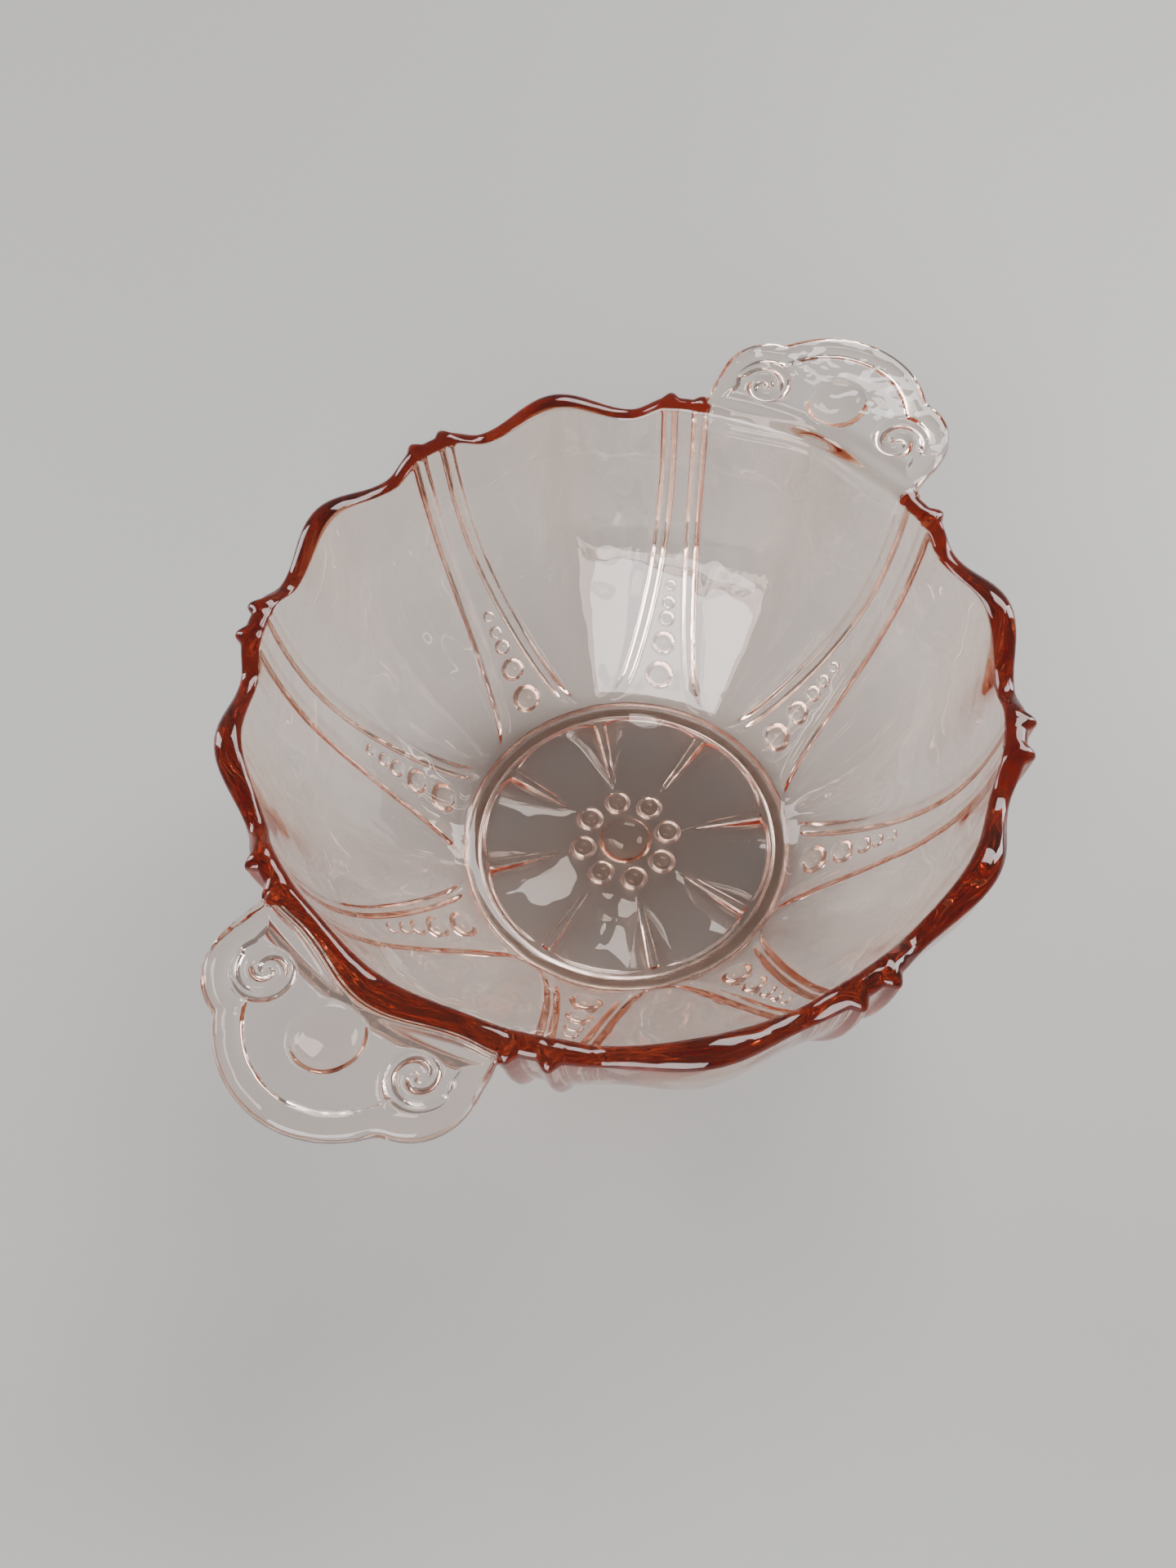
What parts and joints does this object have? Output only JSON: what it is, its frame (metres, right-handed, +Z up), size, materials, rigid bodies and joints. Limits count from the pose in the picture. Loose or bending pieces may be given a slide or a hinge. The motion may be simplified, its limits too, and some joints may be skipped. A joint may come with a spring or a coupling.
{
  "type": "two-handled candy dish",
  "caption": "Deep round bowl of pressed pink glass with lobed ribbed sides, a sunburst base, a foot ring and two flat tab handles, for serving sweets.",
  "frame": {"origin": "centre of the base, on the surface the foot ring stands on", "axes": "+Z up out of the bowl's mouth, +X through the right handle, +Y across the handles"},
  "size_m": [0.2152, 0.1636, 0.0822],
  "materials": {
    "wall_glass": "clear pink pressed glass, fire polished",
    "foot_glass": "clear pink pressed glass, lightly worn where it stands",
    "floor_glass": "clear pink pressed glass with a moulded sunburst underneath",
    "handle_glass": "clear pink pressed glass with moulded relief underneath"
  },
  "bodies": {
    "root": {"bowl_wall": "wall_glass", "foot_ring": "foot_glass", "medallion_floor": "floor_glass", "right_handle": "handle_glass", "left_handle": "handle_glass"}
  },
  "joints": []
}
